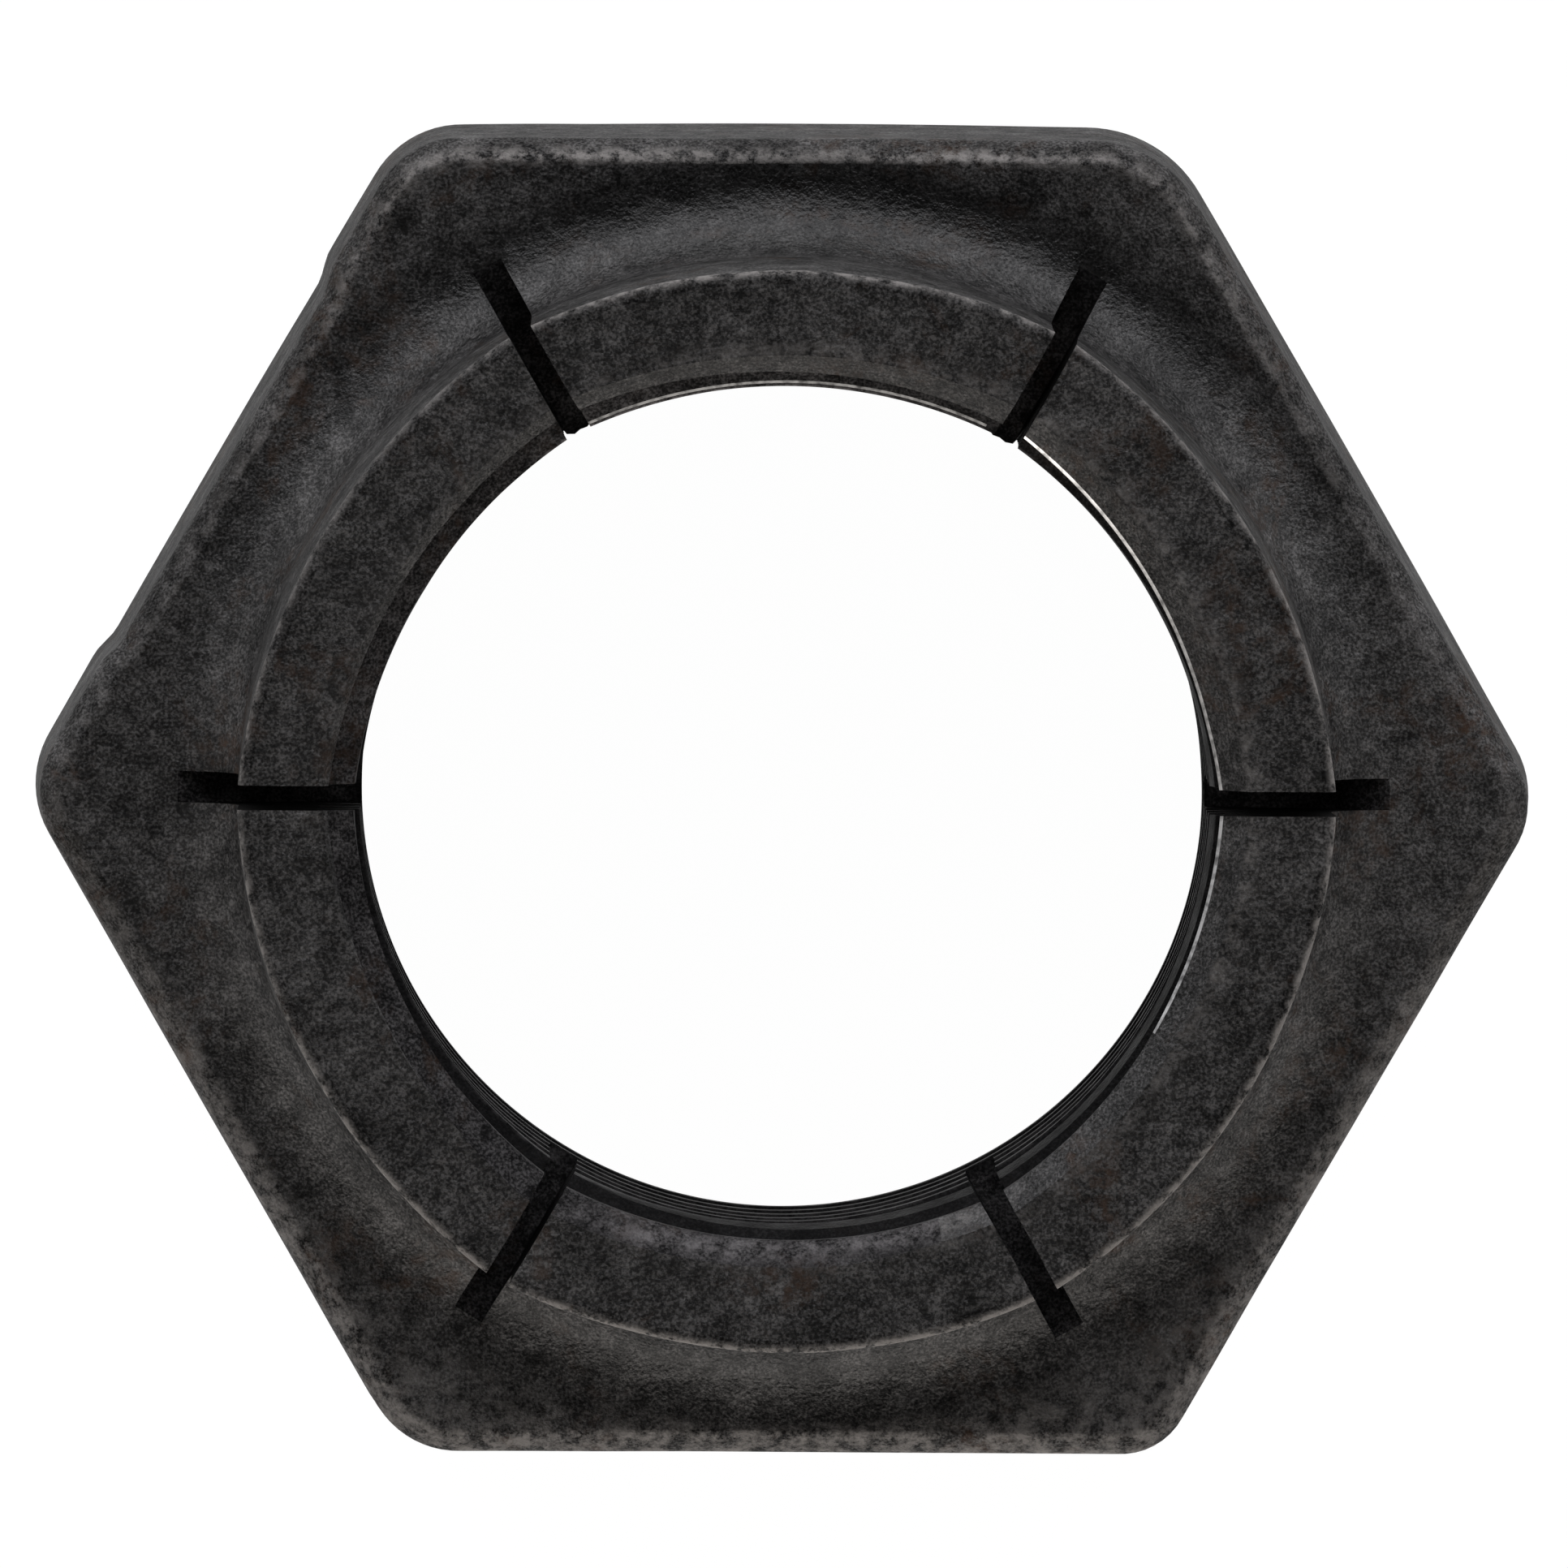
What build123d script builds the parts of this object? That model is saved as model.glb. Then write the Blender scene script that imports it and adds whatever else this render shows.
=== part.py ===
"""All-metal hexagon lock nut with a slotted collar.

One forged piece of steel.  A hexagon body with drafted sides and rounded
corners carries a round collar.  Its top is dished: a fillet sweeps out of the
collar into a shallow ring-shaped valley, and the six corners rise beyond it.
Three saw passes across the collar leave six slots over the corners.  Each of
the six segments between them is pressed flatter, so that its middle moves
inwards and grips the bolt while its ends spread into the slots.

Millimetres.  The origin is the centre of the flat bearing face, +Z runs along
the bolt to the slotted end, and two corners lie on the X axis.
"""

import os
from math import cos, radians, sin, sqrt, tan

from build123d import *

# Thread, 1 inch with 12 threads to the inch.  The bore is cut at the crests,
# and the height of a thread is given as a share of the pitch.
thread_major = 25.4
thread_pitch = 25.4 / 12
thread_height_share = 0.534

# Hexagon body
across_flats = 36.5
corner_radius = 2.7
flank_draft = 2.2
hex_height = 8.6
rim_bevel = 0.7
bearing_diameter = 34.6
bearing_chamfer_angle = 30

# Dished shoulder between the collar and the hexagon
shoulder_fillet = 2.0
corner_rise_angle = 7

# Collar
overall_height = 16.3
collar_diameter = 29.9
crown_edge_break = 0.25

# Countersinks, close to the thread's major diameter
crown_countersink_diameter = 25.1
bearing_countersink_diameter = 25.8
countersink_half_angle = 45

# Slots: a disc saw that stands on the axis cuts two opposite slots at once
slot_count = 6
slot_width = 0.87
saw_radius = 38.0
saw_depth_on_axis = 11.5

# At the crown, how far the press moves the middle of a segment inwards,
# and how much narrower that leaves a slot
press_depth = 0.26
slot_closing = 0.20

# Values that follow from the ones above
bore_radius = thread_major / 2 - thread_height_share * thread_pitch
collar_radius = collar_diameter / 2
half_flats = across_flats / 2
half_corners = half_flats / cos(radians(30))
bearing_radius = bearing_diameter / 2
valley_radius = collar_radius + shoulder_fillet
collar_root = hex_height + shoulder_fillet
saw_floor_on_axis = overall_height - saw_depth_on_axis
saw_floor_at_bore = saw_floor_on_axis + saw_radius - sqrt(saw_radius**2 - bore_radius**2)

# How far a cutter or a blank reaches past the faces that it trims
clear = 1.0

# A cylinder or cone that stands on its lower face, centred on the axis
standing = (Align.CENTER, Align.CENTER, Align.MIN)


def hexagon_body():
    """Drafted hexagon prism with rounded corners, taller than it ends up."""
    outline = RegularPolygon(half_flats, 6, major_radius=False)
    outline = fillet(outline.vertices(), corner_radius)
    return extrude(outline, amount=collar_root + clear, taper=flank_draft)


def turned_form():
    """What is round about the axis: bearing chamfer, dished shoulder, core.

    The outline runs from the axis out along the bearing face and over the
    chamfer, then back in along the straight rise of the corners, which ends
    tangent to the fillet, and up the fillet to the root of the collar.
    """
    far = half_corners + clear
    chamfer_top = (far - bearing_radius) * tan(radians(bearing_chamfer_angle))
    rise = radians(corner_rise_angle)
    centre_height = hex_height + shoulder_fillet
    rise_start = (
        valley_radius + shoulder_fillet * sin(rise),
        centre_height - shoulder_fillet * cos(rise),
    )
    rise_end = (far, rise_start[1] + (far - rise_start[0]) * tan(rise))
    on_fillet = (
        valley_radius - shoulder_fillet * cos(radians(45)),
        centre_height - shoulder_fillet * sin(radians(45)),
    )
    with BuildPart() as turned:
        with BuildSketch(Plane.XZ):
            with BuildLine():
                Polyline(
                    (collar_radius, collar_root),
                    (0, collar_root),
                    (0, 0),
                    (bearing_radius, 0),
                    (far, chamfer_top),
                    rise_end,
                    rise_start,
                )
                ThreePointArc(rise_start, on_fillet, (collar_radius, collar_root))
            make_face()
        revolve(axis=Axis.Z)
    # Turned so that the seam of its round faces lies over a flat, not in a slot
    return Rot(Z=30) * turned.part


def ring_outline(radius, height, pressed):
    """Closed outline of one arc per segment, each from slot to slot.

    The ends of an arc lie at the radius and its middle lies inside it by the
    amount pressed, so an unpressed outline is a true circle.
    """
    middle = radius - pressed
    step = radians(360 / slot_count)
    arcs = []
    for segment in range(slot_count):
        at_start, at_middle, at_end = (step * (segment + part) for part in (0, 0.5, 1))
        arcs.append(
            ThreePointArc(
                (radius * cos(at_start), radius * sin(at_start)),
                (middle * cos(at_middle), middle * sin(at_middle)),
                (radius * cos(at_end), radius * sin(at_end)),
            )
        )
    return Pos(0, 0, height) * make_face(arcs)


def pressed_solid(press_start, sections):
    """Solid through (radius, height) sections whose segments are pressed in.

    The press movement grows with height, from nothing at press_start to its
    full depth at the crown.
    """
    reach = overall_height - press_start
    outlines = [
        ring_outline(radius, height, press_depth * (height - press_start) / reach)
        for radius, height in sections
    ]
    return loft(outlines, ruled=True)


def collar():
    """Collar above the fillet, pressed in, with its outer crown edge broken."""
    return pressed_solid(
        collar_root,
        [
            (collar_radius, collar_root),
            (collar_radius, overall_height - crown_edge_break),
            (collar_radius - crown_edge_break, overall_height),
        ],
    )


def bore():
    """Bore at the thread crests: round below the slots, pressed in above."""
    straight = Cylinder(bore_radius, saw_floor_at_bore + clear, align=standing)
    sections = [(bore_radius, saw_floor_at_bore), (bore_radius, overall_height)]
    return Pos(0, 0, -clear) * straight + pressed_solid(saw_floor_at_bore, sections)


def crown_countersink():
    """Cone at the crown, cut before the press and so pressed with it."""
    wide = crown_countersink_diameter / 2
    slope = tan(radians(countersink_half_angle))
    narrow = bore_radius - press_depth
    sections = [(narrow, overall_height - (wide - narrow) / slope), (wide, overall_height)]
    return pressed_solid(saw_floor_at_bore, sections)


def bearing_countersink():
    """Cone that leads the bolt in at the bearing face."""
    wide = bearing_countersink_diameter / 2
    slope = tan(radians(countersink_half_angle))
    depth = (wide - bore_radius) / slope
    cone = Cone(wide + clear * slope, bore_radius, clear + depth, align=standing)
    return Pos(0, 0, -clear) * cone


def saw_cut(angle):
    """One pass of the saw: two opposite slots.

    The blade is flat-sided.  Above the collar's root a slot narrows towards
    the crown, because the press spreads the segments on both sides into it.
    """
    low = saw_floor_on_axis - clear
    high = overall_height + clear
    closing = slot_closing * (high - collar_root) / (overall_height - collar_root)
    at_root = slot_width / 2
    at_top = (slot_width - closing) / 2
    section = Plane.YZ * Polygon(
        (-at_root, low),
        (at_root, low),
        (at_root, collar_root),
        (at_top, high),
        (-at_top, high),
        (-at_root, collar_root),
        align=None,
    )
    blade = extrude(section, amount=half_corners, both=True)
    disc = Pos(0, 0, saw_floor_on_axis + saw_radius) * Rot(X=90) * Cylinder(saw_radius, 2 * slot_width)
    return Rot(Z=angle) * (blade & disc)


def lock_nut():
    """The whole nut."""
    body = hexagon_body() & turned_form()
    rim = [
        edge
        for edge in body.edges()
        if edge.geom_type not in (GeomType.LINE, GeomType.CIRCLE)
        and edge.center().Z > hex_height / 2
        and edge.bounding_box().max.Z < collar_root - rim_bevel
        and sqrt(edge.center().X ** 2 + edge.center().Y ** 2) > valley_radius
    ]
    nut = chamfer(rim, rim_bevel) + collar()
    nut = nut - bore() - crown_countersink() - bearing_countersink()
    for cut in range(slot_count // 2):
        nut -= saw_cut(cut * 360 / slot_count)
    return nut


nut = lock_nut()
os.makedirs("parts", exist_ok=True)
export_step(nut.solid(), "parts/lock_nut.step")
print("solids", len(nut.solids()), "volume", round(nut.volume, 1), "size", nut.bounding_box().size)
print("bore", round(bore_radius, 3), "mm in radius, slots reach it at", round(saw_floor_at_bore, 3))
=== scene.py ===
# %% [markdown]
# A slotted lock nut in dark oxide steel
#
# This nut was forged, turned, tapped, sawn and pressed out of one piece of
# steel, so it is one piece here too. The CAD model fixes its size and place.
# What it leaves out is the thread in the bore, the soft edges of a forging, a
# hexagon that isn't quite regular, and the skin of dark oxide. Upper and lower
# mean the picture's edges: +Y and -Y.

import bmesh
import bpy
import numpy as np
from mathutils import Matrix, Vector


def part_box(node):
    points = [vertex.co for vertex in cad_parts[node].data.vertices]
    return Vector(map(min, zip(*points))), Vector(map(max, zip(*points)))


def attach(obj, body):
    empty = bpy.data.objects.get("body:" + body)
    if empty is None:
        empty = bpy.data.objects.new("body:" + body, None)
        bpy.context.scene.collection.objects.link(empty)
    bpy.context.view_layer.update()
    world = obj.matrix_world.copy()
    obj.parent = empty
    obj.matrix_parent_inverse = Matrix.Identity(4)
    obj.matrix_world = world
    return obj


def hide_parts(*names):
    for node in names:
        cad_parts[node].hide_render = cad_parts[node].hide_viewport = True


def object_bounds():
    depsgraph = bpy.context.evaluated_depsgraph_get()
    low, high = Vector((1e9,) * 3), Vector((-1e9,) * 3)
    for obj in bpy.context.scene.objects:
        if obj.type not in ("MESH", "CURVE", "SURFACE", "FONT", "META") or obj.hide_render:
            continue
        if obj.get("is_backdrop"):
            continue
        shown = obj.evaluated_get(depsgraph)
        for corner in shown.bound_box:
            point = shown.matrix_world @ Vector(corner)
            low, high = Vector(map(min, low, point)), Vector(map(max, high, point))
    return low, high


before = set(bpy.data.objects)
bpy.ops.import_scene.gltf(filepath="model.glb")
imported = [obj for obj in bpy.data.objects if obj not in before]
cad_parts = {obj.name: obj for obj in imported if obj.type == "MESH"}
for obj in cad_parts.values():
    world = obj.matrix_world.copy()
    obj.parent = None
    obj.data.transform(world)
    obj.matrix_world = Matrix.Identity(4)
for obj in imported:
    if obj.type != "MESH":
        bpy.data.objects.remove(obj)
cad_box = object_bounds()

# %% [markdown]
# Sizes
#
# The mesh is worked out in millimetres and turned into metres at the end. The
# outer sizes come from the box of the CAD node, so that the finish can't drift
# away from the solid. The flats lean in, so the hexagon is widest just above
# the chamfer, and the width at the bearing plane follows from that.

# %% Sizes of the nut
MM = 0.001
high = np.array(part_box("lock_nut")[1]) / MM
overall_height = high[2]

draft = np.tan(np.radians(2.2))
lower_draft = np.tan(np.radians(1.4))
bearing_radius = 17.3
bearing_slope = np.tan(np.radians(30))
half_flats = (high[1] - bearing_radius * bearing_slope * draft) / (1 - bearing_slope * draft)

collar_radius = 14.95
fillet_radius = 2.0
valley_radius = collar_radius + fillet_radius
collar_root = 10.6
rise_degrees = 7
rise = np.radians(rise_degrees)

inch = 25.4
pitch = inch / 12
crest_radius = 11.57
root_radius = inch / 2
sixth_turn = np.radians(60)
print("flats", round(2 * half_flats, 3), "mm, height", round(overall_height, 3), "mm")

# %% [markdown]
# The hexagon
#
# A forged hexagon is never quite regular: each flat stands at its own distance
# from the axis and each corner has its own radius. One could draw twelve
# curves and join them. A single function is handier: it says how far the
# outline reaches in a given direction at a given height. Two flats lean less
# than the others, and one is a little hollow, where the die has worn.

# %% How far the hexagon reaches
flat_facing = np.radians([30, 90, 150, 210, 270, 330])
flat_excess = np.array([-0.09, 0.0, -0.20, 0.015, -0.005, 0.015])
flat_draft = np.array([draft, draft, draft, draft, lower_draft, lower_draft])
corner_rounding = np.array([3.6, 2.78, 2.80, 2.87, 2.11, 2.48])
flat_count = 6
flat_hollow = np.array([0, 0, 0.20, 0, 0, 0])
hollow_half, hollow_slope = 5.5, 0.9
widest_look = 1.2
least_facing = 0.3


def smooth_step(value, start, end):
    """Rises from 0 at start to 1 at end: 3 s squared less 2 s cubed."""
    share = np.clip((value - start) / (end - start), 0, 1)
    return share * share * (3 - 2 * share)


def flat_distance(number, angle):
    """Distance of a flat from the axis: half the width plus its own excess
    and, beyond a distance along the flat, the depth of its hollow."""
    distance = half_flats + flat_excess[number]
    look = np.clip(angle - flat_facing[number], -widest_look, widest_look)
    along = np.abs(distance * np.tan(look))
    return distance + flat_hollow[number] * smooth_step(along, hollow_half, hollow_half + hollow_slope)


def hexagon_reach(angle, height):
    """Distance from the axis to the outline in a direction, at a height.

    A flat gives its distance, less its draft times the height, over the cosine
    of the angle to it, and the nearest flat counts. Between its two flats a
    corner's circle counts: its centre's part along the direction, plus the
    root of the squared radius less the squared part across it.
    """
    angle, height = np.broadcast_arrays(angle, height)
    turn = np.mod(angle, 2 * np.pi)
    reach = np.full(turn.shape, np.inf)
    for number in range(flat_count):
        facing = np.cos(turn - flat_facing[number])
        distance = flat_distance(number, turn) - height * flat_draft[number]
        flat = distance / np.maximum(facing, least_facing)
        reach = np.where(facing > least_facing, np.minimum(reach, flat), reach)
    for number in range(flat_count):
        sides = [number, (number + 1) % flat_count]
        corner = flat_facing[number] + sixth_turn / 2
        radius = corner_rounding[number] - height * flat_draft[sides].mean()
        facings = flat_facing[sides]
        normals = np.stack([np.cos(facings), np.sin(facings)], axis=1)
        inner = np.stack([
            flat_distance(side, corner) - height * flat_draft[side] - radius
            for side in sides
        ])
        centre = np.tensordot(np.linalg.inv(normals), inner, axes=1)
        along = centre[0] * np.cos(turn) + centre[1] * np.sin(turn)
        across = centre[0] * np.sin(turn) - centre[1] * np.cos(turn)
        start, end = (
            np.arctan2(centre[1] + normal[1] * radius, centre[0] + normal[0] * radius)
            for normal in normals
        )
        inside = (np.sin(turn - start) >= 0) & (np.sin(end - turn) >= 0) & (along > 0)
        arc = along + np.sqrt(np.maximum(radius**2 - across**2, 0))
        reach = np.where(inside, arc, reach)
    return reach


to_corners = sixth_turn * np.arange(flat_count)
print("corners reach", np.round(hexagon_reach(to_corners, 0.0), 2), "mm")

# %% [markdown]
# Columns that bend into the slots
#
# The whole nut is one grid: its columns go round the axis, and its rows run
# from the bearing face up the outside, over the crown and down the bore. Five
# columns stand across each saw slot, and the rest fill the segment up to the
# next one. The cuts aren't quite radial, and the press has made them narrower
# at the crown, so a column's angle depends on how far out and how high it is.

# %% Columns of the grid
slot_count = 6
sector_columns = 80
slot_gaps = 4
total_columns = slot_count * sector_columns
seam_column = (sector_columns + slot_gaps) // 2
slot_floor_on_axis = 4.8
saw_radius = 38.0
slot_width = 0.87
slot_closing = 0.20
press_depth = 0.26
press_curve = 2.2
slot_offset_at = (13.7, 16.2)
slot_offset_inside = np.array([0.085, -0.25, -0.14, -0.13, -0.22, -0.385])
slot_offset_outside = np.array([0.085, -0.17, -0.14, -0.15, -0.27, -0.47])

sector, place = np.divmod(np.arange(total_columns) + seam_column, sector_columns)
across_slot = np.clip(place, 0, slot_gaps) / slot_gaps * 2 - 1
along_segment = np.clip((place - slot_gaps) / (sector_columns - slot_gaps), 0, 1)


def saw_floor(reach):
    """Height of a slot's floor: the lowest part of the saw's circle."""
    return slot_floor_on_axis + saw_radius - np.sqrt(saw_radius**2 - reach**2)


def press_share(height):
    """Share of the press: a power of the height, from 0 at the floor of the
    slots to 1 at the crown."""
    bottom = saw_floor(crest_radius)
    return np.clip((height - bottom) / (overall_height - bottom), 0, 1) ** press_curve


def pressed_in(height):
    """How far a segment has moved in: most at its middle, nothing at its
    ends, by one less the square of the place between them."""
    return press_depth * press_share(height) * (1 - (2 * along_segment - 1) ** 2)


def slot_angle(slot, side, reach, height):
    """Angle of a place across a slot: the slot's own angle, plus the arc sine
    of the place's offset over its reach."""
    outwards = (reach - slot_offset_at[0]) / (slot_offset_at[1] - slot_offset_at[0])
    inside, outside = slot_offset_inside[slot % slot_count], slot_offset_outside[slot % slot_count]
    offset = inside + (outside - inside) * np.clip(outwards, 0, 1)
    half = (slot_width - slot_closing * press_share(height)) / 2
    return sixth_turn * slot + np.arcsin((offset + side * half) / reach)


def column_angle(reach, height):
    """Angle of every column: its share of the way from one slot's far side to
    the next slot's near side."""
    near = slot_angle(sector, across_slot, reach, height)
    far = slot_angle(sector + 1, -1, reach, height)
    return near + along_segment * (far - near)


print(total_columns, "columns, slots reach the bore at", round(saw_floor(crest_radius), 2), "mm")

# %% [markdown]
# The thread
#
# In the bore a point's distance from the axis follows from its height and
# angle. A thread climbs by one pitch each turn, so one number decides: how far
# a point is from the nearest crest, as a share of the pitch. Crests are flat,
# flanks lean at thirty degrees, and the groove ends at the major diameter. The
# tap has widened the turns near the crown, and a countersink opens both ends.
# Where two of these meet, the larger distance wins: tools only take away.

# %% Bore profile
crest_half = 0.13
crest_phase = 15.325
crest_phase_angle = np.radians(270)
flank_slope = np.tan(np.radians(60))
lead_start, lead_end, lead_slope = 12.9, 14.6, 0.24
runout_angle = np.radians(-74)
lead_shift = 0.20
crown_bore_radius = 12.58
bearing_bore_radius = 12.9


def thread_distance(angle, height):
    """Distance from the nearest crest, in pitches: the height less the climb."""
    turns = (height - crest_phase) / pitch - (angle - crest_phase_angle) / (2 * np.pi)
    return np.abs(turns - np.round(turns))


def thread_radius(angle, height):
    """Crest, flank or root, cut back near the crown by a lead cone, less its
    shift times one less the cosine of the angle to the side it stands on."""
    flank = crest_radius + flank_slope * pitch * (thread_distance(angle, height) - crest_half)
    profile = np.clip(flank, crest_radius, root_radius)
    lead = crest_radius + lead_slope * (np.clip(height, lead_start, lead_end) - lead_start)
    return np.maximum(profile, lead - lead_shift * (1 - np.cos(angle - runout_angle)))


def crown_cone(height):
    """Countersink at the crown: its widest radius less the depth in it."""
    return crown_bore_radius - (overall_height - height)


def bearing_cone(height):
    """Countersink at the bearing face: its widest radius less the height."""
    return bearing_bore_radius - height


def bore_radius(angle, height):
    """The widest of thread and countersinks, before the press."""
    cut = np.maximum(crown_cone(height), bearing_cone(height))
    return np.maximum(thread_radius(angle, height), cut)


# %% [markdown]
# The rows in the bore climb with the thread, or its edges would turn to
# steps. Each row keeps its place in the profile, and after a full turn it has
# climbed one pitch, so the last column is joined to the first one a pitch
# higher. Rows that climb past the bearing face or into the countersink of the
# crown are laid on its rim and merged later. Where an edge doesn't follow the
# thread, the nearest row is moved onto it.

# %% Rows in the bore
profile_places = np.array([
    0, 0.13, 0.155, 0.175, 0.25, 0.345, 0.438, 0.5, 0.562, 0.655, 0.75, 0.845, 0.87,
])
rows_per_turn = len(profile_places)
turn_count, turns_below_phase = 10, 8
seam_angle = sixth_turn / 2
seam_climb = pitch * (seam_angle - crest_phase_angle) / (2 * np.pi)
first_crest = crest_phase + seam_climb - turns_below_phase * pitch
ladder_rungs = 600
deepest_bearing_edge = 3.0

turn_number, profile_row = np.divmod(np.arange(turn_count * rows_per_turn + 1), rows_per_turn)
row_climb = (turn_number + profile_places[profile_row]) * pitch
bore_guess = np.full(total_columns, (crest_radius + root_radius) / 2)
bore_angle = column_angle(bore_guess, overall_height / 2)
helix = pitch * (bore_angle - seam_angle) / (2 * np.pi)
bore_height = np.clip(first_crest + row_climb[:, None] + helix, 0, overall_height)


def crossing(first, second, angle, start, end):
    """Height where one radius first exceeds another for good, in each column,
    found on a fine ladder of heights and set between its two rungs."""
    ladder = np.linspace(start, end, ladder_rungs)[:, None]
    gap = first(ladder) - second(angle, ladder)
    above = np.cumprod((gap > 0)[::-1], axis=0)[::-1]
    rung = np.clip(len(ladder) - above.sum(axis=0), 1, len(ladder) - 1)
    column = np.arange(gap.shape[1])
    before, after = gap[rung - 1, column], gap[rung, column]
    share = np.clip(before / (before - after), 0, 1)
    return ladder[rung - 1, 0] + share * (ladder[1, 0] - ladder[0, 0])


def snap(height, target, columns):
    """Moves the row nearest to a target height onto it, column by column."""
    nearest = np.abs(height[:, columns] - target).argmin(axis=0)
    height[nearest, columns] = target


every_column = np.arange(total_columns)
crown_edge = crossing(crown_cone, thread_radius, bore_angle, lead_end, overall_height)
bearing_edge = -crossing(
    lambda depth: bearing_cone(-depth),
    lambda angle, depth: thread_radius(angle, -depth),
    bore_angle,
    -deepest_bearing_edge,
    0.0,
)
snap(bore_height, crown_edge, every_column)
snap(bore_height, bearing_edge, every_column)
bore_height = np.minimum(bore_height, crown_edge)
print("countersink ends between", crown_edge.min().round(2), "and", crown_edge.max().round(2), "mm")

# %% [markdown]
# A slot's floor meets the bore where the saw's circle reaches the thread, and
# the grid needs one row exactly there. The row nearest to the middle of the
# slot is taken for all five columns, so that the floor gets a whole edge.

# %% Rows that meet the floors of the slots
slot_start = np.arange(1, slot_count + 1) * sector_columns - seam_column
slot_columns = slot_start[:, None] + np.arange(slot_gaps + 1)
middle_column = slot_gaps // 2
floor_row = np.zeros(slot_count, dtype=int)
lowest_meeting, highest_meeting, meeting_steps = 5.8, 7.6, 900
floor_depth = np.linspace(lowest_meeting, highest_meeting, meeting_steps)[:, None]
for slot, columns in enumerate(slot_columns):
    angle = bore_angle[columns]
    below = floor_depth < saw_floor(bore_radius(angle, floor_depth))
    meets = floor_depth[below.sum(axis=0).clip(max=meeting_steps - 1), 0]
    to_meeting = np.abs(bore_height[:, columns[middle_column]] - meets[middle_column])
    floor_row[slot] = to_meeting.argmin()
    bore_height[floor_row[slot], columns] = meets
print("slot floors meet the bore at rows", floor_row)

# %% [markdown]
# Above its lower rim the countersink has level rows of its own. On one side of
# the bore it has rolled a thin lip inwards along that rim, which catches the
# light as a fine bright line. The rim moves in by the width of the lip, and
# the first level row is drawn close above it. A row's angle depends on its
# reach and its reach on its angle, so the two are worked out in turn.

# %% Countersink at the crown and its lip
lip_width, lip_height = 0.04, 0.05
lip_middle, lip_reaches, lip_is_full = 14, 50, 38
least_lip = 0.3
crest_margin = 0.02
same_height = 1e-6
level_rows = 7
angle_rounds = 3


def on_side(angle, middle, outer, inner):
    """1 up to the inner angle from a side's middle and 0 past the outer one,
    all in degrees: a smooth step of the cosine between the two."""
    lean = np.cos(angle - np.radians(middle))
    return smooth_step(lean, np.cos(np.radians(outer)), np.cos(np.radians(inner)))


edge_row = len(bore_height) - 1
lip_share = on_side(bore_angle, lip_middle, lip_reaches, lip_is_full)
cone_height = overall_height - crown_edge
lip_top = np.minimum(lip_height, cone_height / 2)
cone_places = np.linspace(0, 1, level_rows)[:, None]
level_height = crown_edge + lip_top + (cone_height - lip_top) * cone_places
bore_height = np.concatenate([bore_height, level_height])

bore_reach = bore_radius(bore_angle, bore_height)
for again in range(angle_rounds):
    bore_angle_full = column_angle(bore_reach, bore_height)
    bore_reach = bore_radius(bore_angle_full, bore_height)
on_crest = bore_reach < crest_radius + crest_margin
bore_reach -= lip_width * lip_share * (np.abs(bore_height - crown_edge) < same_height)
with_lip = lip_share > least_lip
print("lip on", int(with_lip.sum()), "of", total_columns, "columns")

# %% [markdown]
# The outside
#
# The outside is a stack of blocks of rows, each with a reach and a height for
# every column, from the bearing face to the crown. A round edge is a rational
# curve towards the corner point. Where its two ends are equally far from the
# corner and its weight is the cosine of half the turn, it is an arc of a
# circle. A smaller weight pulls it towards the straight line: the rim of the
# forging is a bevel with soft edges, taken further down the flank than over
# the land.

# %% Rows of the outside
rim_on_land = 0.60
rim_on_flank = 0.85
rim_fullness = 0.45
crown_edge_radius = 0.25
rim_turn = np.pi / 2 - np.arctan(draft) + rise
land_start_reach = valley_radius + fillet_radius * np.sin(rise)
land_start_height = collar_root - fillet_radius * np.cos(rise)
most_of_land = 0.95
column_reach = 17.0
closing_rounds = 12
hexagon_columns = column_angle(np.full(total_columns, column_reach), 0.0)


def shares(*values):
    """Shares as a column, so that they spread down the rows of a block."""
    return np.array(values, dtype=float)[:, None]


def between(first, last, share):
    """The first row or number, plus a share of the way to the last one."""
    return first + (last - first) * share


def flank_reach(height):
    """Reach of the drafted flank in every column."""
    return hexagon_reach(hexagon_columns, height)


def meet(slope_reach, slope_height, slope):
    """Where the flank meets a cone: the flank's reach gives the height of the
    cone there, that height gives the flank's next reach, and so on."""
    reach = np.full(total_columns, half_flats)
    for again in range(closing_rounds):
        height = slope_height + (reach - slope_reach) * slope
        reach = flank_reach(height)
    return reach, height


def rounded(first, corner, last, turn, fullness, share):
    """Rational curve: its ends weigh 1, and its corner weighs the cosine of
    half the turn times a fullness."""
    weight = fullness * np.cos(turn / 2)
    parts = (1 - share) ** 2, 2 * weight * share * (1 - share), share**2
    total = parts[0] + parts[1] + parts[2]
    return [
        (parts[0] * start + parts[1] * middle + parts[2] * end) / total
        for start, middle, end in zip(first, corner, last)
    ]


chamfer_reach, chamfer_height = meet(bearing_radius, 0.0, bearing_slope)
rim_reach, rim_height = meet(land_start_reach, land_start_height, np.tan(rise))

nudge = np.radians(0.5)
further = hexagon_reach(hexagon_columns + nudge, collar_root)
nearer = hexagon_reach(hexagon_columns - nudge, collar_root)
obliquity = np.hypot(rim_reach, (further - nearer) / (2 * nudge)) / rim_reach
land_round = np.minimum(rim_on_land * obliquity, most_of_land * (rim_reach - land_start_reach))
flank_top = (flank_reach(rim_height - rim_on_flank), rim_height - rim_on_flank)
land_end = (rim_reach - land_round, rim_height - land_round * np.tan(rise))
print("rim takes", land_round.min().round(2), "to", land_round.max().round(2), "mm of the land")

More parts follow.
